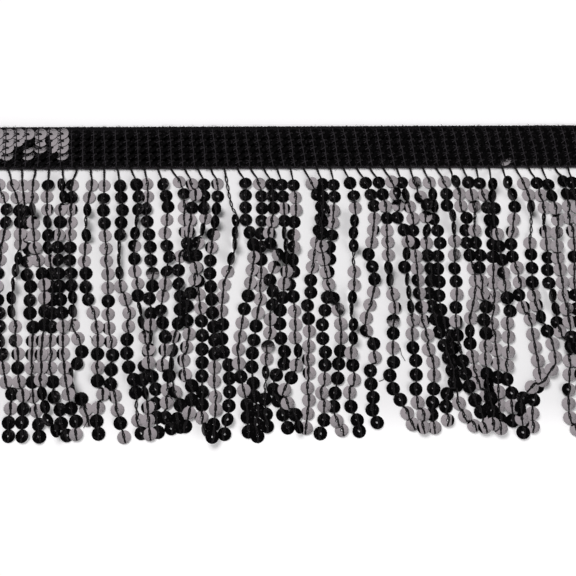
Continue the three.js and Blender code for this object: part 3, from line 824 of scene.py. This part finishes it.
def lay_copies(name, laid, material):
    """One mesh of sequins. laid is a list of (centre, axes, letter), in millimetres."""
    points, faces = [], []
    start = 0
    for centre, axes, letter in laid:
        disc = punched.get(letter, punched["plain"]).data
        local = np.empty(len(disc.vertices) * 3)
        disc.vertices.foreach_get("co", local)
        points.append(local.reshape(-1, 3) @ axes + centre * MM)
        faces.extend([[v + start for v in p.vertices] for p in disc.polygons])
        start += len(disc.vertices)
    mesh = bpy.data.meshes.new(name)
    mesh.from_pydata(np.concatenate(points).tolist(), [], faces)
    mesh.materials.append(material)
    obj = bpy.data.objects.new(name, mesh)
    bpy.context.scene.collection.objects.link(obj)
    choose(obj)
    bpy.ops.object.shade_smooth_by_angle(angle=SMOOTH_UNDER)
    return obj


HALF_WAY = STRAND_COUNT // 2


def strands_of(side):
    return strands[:HALF_WAY] if side == "left" else strands[HALF_WAY:]


strand_sequins = {}
for side in ("left", "right"):
    laid = [entry for s in strands_of(side) for entry in s["sequins"] if entry[2] != "."]
    strand_sequins[side] = lay_copies(f"strand_sequins_{side}", laid, film)
    print(strand_sequins[side].name, triangles(strand_sequins[side]), "triangles")

# %% [markdown]
# ## Thread
# A thread is a curve with a round bevel. It is drawn as points, given its thickness, and made a mesh
# with closed ends. A chain stitch has two plies to the eye: they part into an open loop just above
# each sequin's hole, meet in a nub at the hole, and run twisted together to the next sequin. At
# about a third of the holes the nub has slipped to one side, and the hole shows. The first few
# millimetres under the edge cord are knotted and thicker, and where a sequin is lost the loops gape.

# %% Draw threads


def draw_threads(name, paths, thickness, material, sides=4):
    """Threads along paths, each a list of (point, swell) pairs, in millimetres."""
    data = bpy.data.curves.new(name, "CURVE")
    data.dimensions = "3D"
    data.bevel_depth = thickness / 2 * MM
    data.bevel_resolution = sides // 2 - 2
    data.use_fill_caps = True
    for path in paths:
        spline = data.splines.new("POLY")
        spline.points.add(len(path) - 1)
        for target, (place, swell) in zip(spline.points, path):
            target.co = (*[c * MM for c in place], 1)
            target.radius = swell
    obj = bpy.data.objects.new(name, data)
    bpy.context.scene.collection.objects.link(obj)
    choose(obj)
    bpy.ops.object.convert(target="MESH")
    obj = bpy.context.object
    obj.data.materials.clear()
    obj.data.materials.append(material)
    bpy.ops.object.shade_smooth()
    return obj


def along_path(corners, step):
    """Evenly spaced points and running lengths along straight runs between corners."""
    corners = np.array(corners)
    runs = np.linalg.norm(np.diff(corners, axis=0), axis=1)
    lengths = np.concatenate([[0], np.cumsum(runs)])
    marks = np.linspace(0, lengths[-1], max(2, round(lengths[-1] / step) + 1))
    return np.array([np.interp(marks, lengths, corners[:, c]) for c in range(3)]).T, marks, lengths


# %% The chain stitch of each strand
PLY = 0.6
LOOP_LENGTH = 2.3
LOOP_HALF = 0.38
TWIST_HALF = 0.17
HOLE_SHOWS = 0.35
TWIST_PITCH = 2.4
STEP = 0.45
ROOT_END = 5.0
ROOT_SWELL = 1.35
KNOT_SWELL = 0.3
NUB_AT_HOLE = 1.45
SLIPPED = 0.65
HOLE_REACH = 2.7
KNOT_PITCH = 1.3
BARE_LOOP = 4.2
BARE_LOOP_HALF = 0.5
THREAD_LIFT = FILM_THICKNESS / 2 + 0.28
LOOP_ROUND = 0.6
PAST_HOLE = 0.2
NUB_WITHIN = 0.6 * STEP
OFF_TABLE = 0.02
FAR_OFF = 99.0
# The first corners, as depth below the edge and height: on the cord, just off it, and clear of it.
ROOT_CORNERS = [(-0.9, EDGE_CORD + 0.1), (0.15, 0.9), (2.2, 0.6)]


def centreline_of(strand, k):
    """The corners that the chain runs through, and which of them are holes and bare places."""
    xs = (root_x(k), root_x(k), strand["x_at"](ROOT_CORNERS[-1][0]))
    corners = [np.array([x, EDGE_Y - depth, z]) for x, (depth, z) in zip(xs, ROOT_CORNERS)]
    holes = []
    bare = []
    for n, (centre, axes, letter) in enumerate(strand["sequins"]):
        top = centre + axes[2] * THREAD_LIFT
        if letter == ".":
            bare.append(len(corners))
            corners.append(centre)
            continue
        aside = rng.choice((-SLIPPED, SLIPPED)) if rng.random() < HOLE_SHOWS else 0.0
        corners.append(top + axes[1] * HOLE_REACH)
        holes.append(len(corners))
        corners.append(top + axes[0] * aside)
        corners.append(top - axes[1] * HOLE_REACH)
    return corners, holes, bare


def chain_plies(corners, holes, bare):
    """The two plies of a chain stitch as (point, swell) paths."""
    points, marks, lengths = along_path(corners, STEP)
    hole_marks = np.array([lengths[h] for h in holes])
    bare_marks = np.array([lengths[b] for b in bare] or [-FAR_OFF])
    heading = np.gradient(points, axis=0)
    heading /= np.linalg.norm(heading, axis=1)[:, None]
    across = np.cross(heading, [0, 0, 1.0])
    across /= np.linalg.norm(across, axis=1)[:, None]
    spread = np.empty(len(marks))
    rise = np.empty(len(marks))
    swell = np.ones(len(marks))
    for n, mark in enumerate(marks):
        ahead = hole_marks[hole_marks >= mark - PAST_HOLE]
        before_hole = ahead[0] - mark if len(ahead) else FAR_OFF
        if before_hole < LOOP_LENGTH:
            share = min(1, max(0, before_hole) / LOOP_LENGTH)
            spread[n] = LOOP_HALF * math.sin(math.pi * share) ** LOOP_ROUND
            rise[n] = 0
        else:
            spread[n] = TWIST_HALF * math.cos(2 * math.pi * mark / TWIST_PITCH)
            rise[n] = TWIST_HALF * math.sin(2 * math.pi * mark / TWIST_PITCH)
        if np.min(np.abs(bare_marks - mark)) < BARE_LOOP:
            spread[n] = BARE_LOOP_HALF * math.sin(math.pi * mark / BARE_LOOP)
            rise[n] = 0
        if mark < ROOT_END:
            swell[n] = ROOT_SWELL + KNOT_SWELL * math.sin(2 * math.pi * mark / KNOT_PITCH + len(holes))
        if np.min(np.abs(hole_marks - mark)) < NUB_WITHIN:
            swell[n] = NUB_AT_HOLE
    plies = []
    for sign in (-1, 1):
        path = points + sign * spread[:, None] * across
        path[:, 2] += sign * rise
        path[:, 2] = np.maximum(path[:, 2], PLY / 2 + OFF_TABLE)
        plies.append(list(zip(path.tolist(), swell.tolist())))
    return plies


strand_chains = {}
for side in ("left", "right"):
    paths = []
    for s in strands_of(side):
        paths += chain_plies(*centreline_of(s, strands.index(s)))
    strand_chains[side] = draw_threads(f"strand_chain_{side}", paths, PLY, thread_stuff)
    print(strand_chains[side].name, triangles(strand_chains[side]), "triangles")

# %% [markdown]
# ## The knitted tape
# The tape is one flat strip of warp knit. Its lower edge is hidden by the cord, and its top edge has
# the small turning loops of the knit, so it is a fine grid whose top row is drawn out into scallops,
# then thickened. It is a sheet of cloth, laid flat, and its size is the size it was cut to.

# %% Tape
TAPE_HEIGHT = tape_high[1] - tape_low[1]
TAPE_THICKNESS = tape_high[2] - tape_low[2]
TAPE_ALLOWANCE = 0.06
SCALLOP = 1.7
SCALLOP_DEPTH = 0.3
deselect()
bpy.ops.mesh.primitive_grid_add(
    x_subdivisions=700, y_subdivisions=8, size=1, location=(0, 0, TAPE_THICKNESS / 2 * MM)
)
tape = bpy.context.object
tape.name = "knitted_tape"
tape.scale = (TRIM_LENGTH * MM, (TAPE_HEIGHT - SCALLOP_DEPTH) * MM, 1)
tape.location[1] = -SCALLOP_DEPTH / 2 * MM
bpy.ops.object.transform_apply(location=True, rotation=True, scale=True)
top_y = max(v.co.y for v in tape.data.vertices)
for vertex in tape.data.vertices:
    if vertex.co.y > top_y - 1e-6:
        vertex.co.y += SCALLOP_DEPTH * MM * abs(math.sin(math.pi * vertex.co.x / (SCALLOP * MM)))
bpy.ops.object.modifier_add(type="SOLIDIFY")
tape.modifiers[-1].thickness = (TAPE_THICKNESS - TAPE_ALLOWANCE) * MM
tape.modifiers[-1].offset = 0
bpy.ops.object.modifier_apply(modifier=tape.modifiers[-1].name)
tape.data.materials.append(knit)
bpy.ops.object.shade_smooth_by_angle(angle=math.radians(40))
print("tape", triangles(tape), "triangles")

# %% [markdown]
# ## The sequin facing
# Five rows are stitched down over the tape like roof slates: each row over the one below it, and in
# a row each sequin over its right-hand neighbour, so every one of them leans back and to the left.
# Near the left end they stand a little higher, and there some lean far enough to show the softbox.
# A short table gives those columns from the top row down; s is a sequin that shows only a sliver.

# %% Rows and columns
ROW_YS = [6.0, 2.4, -1.1, -4.7, -8.3]
COLUMN_PITCH = 5.233
COLUMN_START = -133.7
FIRST_COLUMN = -2
LAST_COLUMN = 53
FACING_BACK_TILT = 0.12
FACING_SIDE_TILT = 0.08
FACING_HEIGHT = TAPE_THICKNESS + 0.62
FACING_SHOWS = math.radians(6.5)
FACING_HIDES = math.radians(17)
LEVEL_COLUMNS = {-2: "GGGGB", -1: "GGGGB", 0: "GGGsB", 1: "GGBBB", 2: "GBssB", 3: "GGsBB", 4: "GCCBB",
                 5: "GGGsB", 45: "BBBBs"}
COLUMN_SLIPS = {1: -0.3, 2: -0.8}
SLIP_JITTER = 0.12
ROW_JITTER = 0.1
TILT_JITTER = 0.02
FACING_DRAWN_HEIGHT = 1.5
SLANT_AT = [-140, -100, 0, 60, 150]
SLANTS = [1.5, 4, 8, 7, 6]
RAISED_COLUMNS = 6
RISE_A_COLUMN = 0.05
RISE_A_ROW = 0.1


def column_x(n, y):
    """Where column n crosses height y: the columns slant, a little more at the middle."""
    middle = COLUMN_START + COLUMN_PITCH * n
    slant = np.interp(middle, SLANT_AT, SLANTS)
    return middle - y * math.tan(math.radians(slant)), math.radians(slant)


facing = []
for n in range(FIRST_COLUMN, LAST_COLUMN + 1):
    letters = LEVEL_COLUMNS.get(n, "BBBBB")
    for row, (y, letter) in enumerate(zip(ROW_YS, letters)):
        x, slant = column_x(n, y)
        x += COLUMN_SLIPS.get(n, 0) + rng.gauss(0, SLIP_JITTER)
        y += rng.gauss(0, ROW_JITTER)
        back = FACING_BACK_TILT + rng.gauss(0, TILT_JITTER)
        left = FACING_SIDE_TILT + rng.gauss(0, TILT_JITTER)
        natural = unit(np.array([-left, back, 1.0]))
        place = np.array([x, y, FACING_DRAWN_HEIGHT])
        normal = settle_lean(natural, place, letter)
        if letter in "GB":
            clear = FACING_SHOWS if letter == "G" else FACING_HIDES
            normal = turned_to(natural, halfway(place), clear)
        higher = 0
        if n < RAISED_COLUMNS:
            higher = RISE_A_COLUMN * (RAISED_COLUMNS - n) + RISE_A_ROW * (len(ROW_YS) - 1 - row)
        centre = np.array([x, y, FACING_HEIGHT + higher])
        facing.append((centre, frame_of(normal, slant), letter if letter in "CDcd" else "facing"))
facing_sequins = lay_copies("heading_sequins", facing, film)
print(facing_sequins.name, len(facing), "sequins,", triangles(facing_sequins), "triangles")

# %% [markdown]
# ## Stitches on the facing
# The sequins are caught by the knitting yarn itself. Down each column it runs over the rims, a
# little left of the holes. At every hole it makes a small nub, and from the nub one thick and two
# thin laps fan out to the left.

# %% Column stitches, nubs and laps
COLUMN_THREAD = 0.38
# Points of the column yarn at a hole: how far left of it, the play in that, how far up, the swell.
# The first sequin of a column has two more above: how far left, up and down into the tape.
COLUMN_STITCH = [(0.95, 0.08, 0.3, 1), (0.85, 0.08, -1.3, 1.15), (0.75, 0.1, -2.95, 1)]
FIRST_STITCH = [(1.0, 3.1, 0.2), (1.0, 1.6, 0)]
NUB_THREAD = 0.5
# Points of a nub: how far up, how far down into the hole, the swell.
NUB_SHAPE = [(0.3, 0.1, 1.2), (0.1, 0, 2.6), (-0.1, 0, 2.6), (-0.3, 0.1, 1.2)]
# Laps: degrees, reach and swell.
LAPS = [(207, 2.7, 1.0), (180, 2.5, 0.5), (152, 2.5, 0.8)]
LAP_THREAD = 0.44
LAP_REACH_JITTER = 0.15
LAP_TURN_JITTER = 5
LAP_RISE = 0.12
LAP_END_DIP = 0.05
STITCH_LIFT = FILM_THICKNESS / 2 + 0.16
columns = LAST_COLUMN - FIRST_COLUMN + 1
rows = len(ROW_YS)
column_paths = []
nub_paths = []
lap_paths = []
for c in range(columns):
    path = []
    for row in range(rows):
        centre, axes, _ = facing[c * rows + row]
        across, along, normal = axes
        top = centre + normal * STITCH_LIFT
        if row == 0:
            for left, up, dip in FIRST_STITCH:
                path.append((top - across * left + along * up - normal * dip, 1))
        for left, play, up, swell in COLUMN_STITCH:
            path.append((top - across * (left + rng.gauss(0, play)) + along * up, swell))
        nub_paths.append([(top + along * up - normal * dip, swell) for up, dip, swell in NUB_SHAPE])
        for angle, reach, swell in LAPS:
            reach += rng.gauss(0, LAP_REACH_JITTER)
            turn = math.radians(angle + rng.gauss(0, LAP_TURN_JITTER))
            end = top + (across * math.cos(turn) + along * math.sin(turn)) * reach
            middle = (top + end) / 2 + normal * LAP_RISE
            lap_paths.append([(top, swell), (middle, swell), (end - normal * LAP_END_DIP, swell)])
    column_paths.append(path)
column_stitches = draw_threads("heading_column_stitches", column_paths, COLUMN_THREAD, cord_stuff)
hole_nubs = draw_threads("heading_hole_nubs", nub_paths, NUB_THREAD, thread_stuff, 6)
lap_stitches = draw_threads("heading_lap_stitches", lap_paths, LAP_THREAD, cord_stuff)
for piece in (column_stitches, hole_nubs, lap_stitches):
    print(piece.name, triangles(piece), "triangles")

# %% [markdown]
# ## Edge loops, edge cord and strand roots
# The tape's top edge is a row of small yarn loops. Along its lower edge a three-ply cord is laid on,
# with a chain seam over it, and each strand's chain is wrapped once round the cord where it starts.

# %% Top edge loops
LOOP_YARN = 0.4
LOOP_HEIGHT = 0.55
LOOP_RISE = 0.3
LOOP_INSET = 0.3
LOOP_REACH = 0.25
LOOP_JITTER = 0.13
LOOP_SWELLS = (0.8, 1.5)
loop_paths = []
for phase in (0.0, 0.5):
    path = []
    for s in np.arange(0, TRIM_LENGTH + 0.01, SCALLOP / 4):
        wave = math.sin(2 * math.pi * (s / SCALLOP / 2 + phase))
        lift = LOOP_HEIGHT + LOOP_RISE * math.sin(2 * math.pi * s / SCALLOP + phase * 4)
        y = TAPE_HEIGHT / 2 - LOOP_INSET + LOOP_REACH * wave + rng.gauss(0, LOOP_JITTER)
        path.append(((s - TRIM_LENGTH / 2, y, lift), rng.uniform(*LOOP_SWELLS)))
    loop_paths.append(path)
top_loops = draw_threads("top_edge_loops", loop_paths, LOOP_YARN, cord_stuff, 4)

# %% Edge cord
CORD_PLY = 0.76
CORD_TWIST = 3.2
CORD_Y = EDGE_Y + EDGE_CORD / 2
CORD_LIFT = 0.02
ply_offset = (EDGE_CORD - CORD_PLY) / 2
cord_paths = []
for ply in range(3):
    path = []
    for s in np.arange(0, TRIM_LENGTH + 0.01, CORD_TWIST / 8):
        turn = 2 * math.pi * (s / CORD_TWIST + ply / 3)
        y = CORD_Y + ply_offset * math.cos(turn)
        z = EDGE_CORD / 2 + CORD_LIFT + ply_offset * math.sin(turn)
        path.append(((s - TRIM_LENGTH / 2, y, z), 1))
    cord_paths.append(path)
edge_cord = draw_threads("edge_cord", cord_paths, CORD_PLY, cord_stuff, 6)

# %% Chain seam over the cord, and the wraps at the strand roots
SEAM_STITCH = 2.6
SEAM_YARN = 0.4
SEAM_IN = 0.15
SEAM_HALF = 0.38
SEAM_ROUND = 0.7
SEAM_LIFT = 0.08
SEAM_KNOT = 0.1
WRAP_LIFT = 0.12
WRAP_WIDTH = 0.8
WRAP_POINTS = 25
WRAP_POINTS_A_TURN = 12
WRAP_LOWEST = 0.22
seam_paths = []
for sign in (-1, 1):
    path = []
    for s in np.arange(0, TRIM_LENGTH + 0.01, SEAM_STITCH / 6):
        open_part = abs(math.sin(math.pi * s / SEAM_STITCH)) ** SEAM_ROUND
        y = EDGE_Y + EDGE_CORD + SEAM_IN + sign * SEAM_HALF * open_part
        z = EDGE_CORD + SEAM_LIFT + SEAM_KNOT * (1 - open_part)
        path.append(((s - TRIM_LENGTH / 2, y, z), 1))
    seam_paths.append(path)
edge_seam = draw_threads("edge_seam", seam_paths, SEAM_YARN, thread_stuff, 4)
wrap_paths = []
for k in range(STRAND_COUNT):
    path = []
    for step in range(WRAP_POINTS):
        turn = 2 * math.pi * step / WRAP_POINTS_A_TURN
        reach = EDGE_CORD / 2 + WRAP_LIFT
        x = root_x(k) + WRAP_WIDTH * (step / (WRAP_POINTS - 1) - 0.5)
        z = max(WRAP_LOWEST, EDGE_CORD / 2 + reach * math.sin(turn))
        path.append(((x, CORD_Y + reach * math.cos(turn), z), 1))
    wrap_paths.append(path)
root_wraps = draw_threads("strand_root_wraps", wrap_paths, SEAM_YARN, thread_stuff, 4)
for piece in (top_loops, edge_cord, edge_seam, root_wraps):
    print(piece.name, triangles(piece), "triangles")

# %% [markdown]
# ## Loose fibres
# A few thread ends have worked free among the strands, and the cut yarn is hairy along both edges.

# %% Loose ends and hair
LOOSE_THREAD = 0.3
HAIR = 0.1
HAIR_COUNT = 260
HAIR_ROOT = 0.1
HAIR_LENGTHS = (0.5, 1.6)
HAIR_BOW = 0.8
HAIR_HEIGHTS = (0.3, 0.9)
LOOSE_ENDS = [
    [(50, 87), (50.4, 90), (52, 93)],
    [(43, 100), (41.8, 101.6), (40, 102.3)],
    [(-128.6, 88.2), (-127, 89), (-125.6, 88.8)],
    [(-90, 114), (-88.6, 117), (-88.8, 120), (-90.2, 122.6)],
    [(47.5, 17), (48.8, 17.9), (50, 18)],
    [(86, 58), (87.6, 60.6), (88.5, 64.5)],
    [(91, 61), (92.4, 62.4), (93, 64.5)],
    [(-89.6, 81), (-89, 82), (-88.2, 83.4)],
]
loose_paths = []
for end in LOOSE_ENDS:
    path = []
    for x, depth in end:
        i, j = cells(np.array([x]), np.array([EDGE_Y - depth]))
        path.append(((x, EDGE_Y - depth, heights[i, j][0] + LOOSE_THREAD), 1))
    loose_paths.append(path)
loose_ends = draw_threads("loose_thread_ends", loose_paths, LOOSE_THREAD, thread_stuff, 4)
hair_paths = []
for n in range(HAIR_COUNT):
    top = n % 2
    x = rng.uniform(-TRIM_LENGTH / 2 + 1, TRIM_LENGTH / 2 - 1)
    y = TAPE_HEIGHT / 2 - HAIR_ROOT if top else EDGE_Y + HAIR_ROOT
    outward = 1 if top else -1
    length = rng.uniform(*HAIR_LENGTHS)
    bow = rng.uniform(-HAIR_BOW, HAIR_BOW)
    z = rng.uniform(*HAIR_HEIGHTS)
    hair_paths.append([
        ((x, y, z), 1),
        ((x + bow * 0.6, y + outward * length * 0.6, z + 0.15), 1),
        ((x + bow * 1.4, y + outward * length * 0.8, max(0.15, z - 0.1)), 1),
    ])
edge_hair = draw_threads("edge_hair", hair_paths, HAIR, thread_stuff, 4)
print("loose", triangles(loose_ends) + triangles(edge_hair), "triangles")

# %% [markdown]
# ## What each piece stands for
# The three solids are replaced by what is made here. Everything rides with the one body.

# %% Replace and ride
for disc in punched.values():
    bpy.data.objects.remove(disc, do_unlink=True)
fringe_pieces = [*strand_sequins.values(), *strand_chains.values()]
fringe_pieces += [root_wraps, edge_cord, edge_seam, loose_ends]
heading_pieces = [facing_sequins, column_stitches, hole_nubs, lap_stitches]
tape_pieces = [top_loops, edge_hair]
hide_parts("heading_tape")
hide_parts("heading_sequins")
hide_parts("fringe")
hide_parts("fringe")
for piece in [tape, *tape_pieces]:
    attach(piece, "root")
for piece in heading_pieces:
    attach(piece, "root")
for piece in fringe_pieces:
    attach(piece, "root")
total = sum(triangles(p) for p in [tape, *tape_pieces, *heading_pieces, *fringe_pieces])
print("all pieces", total, "triangles")
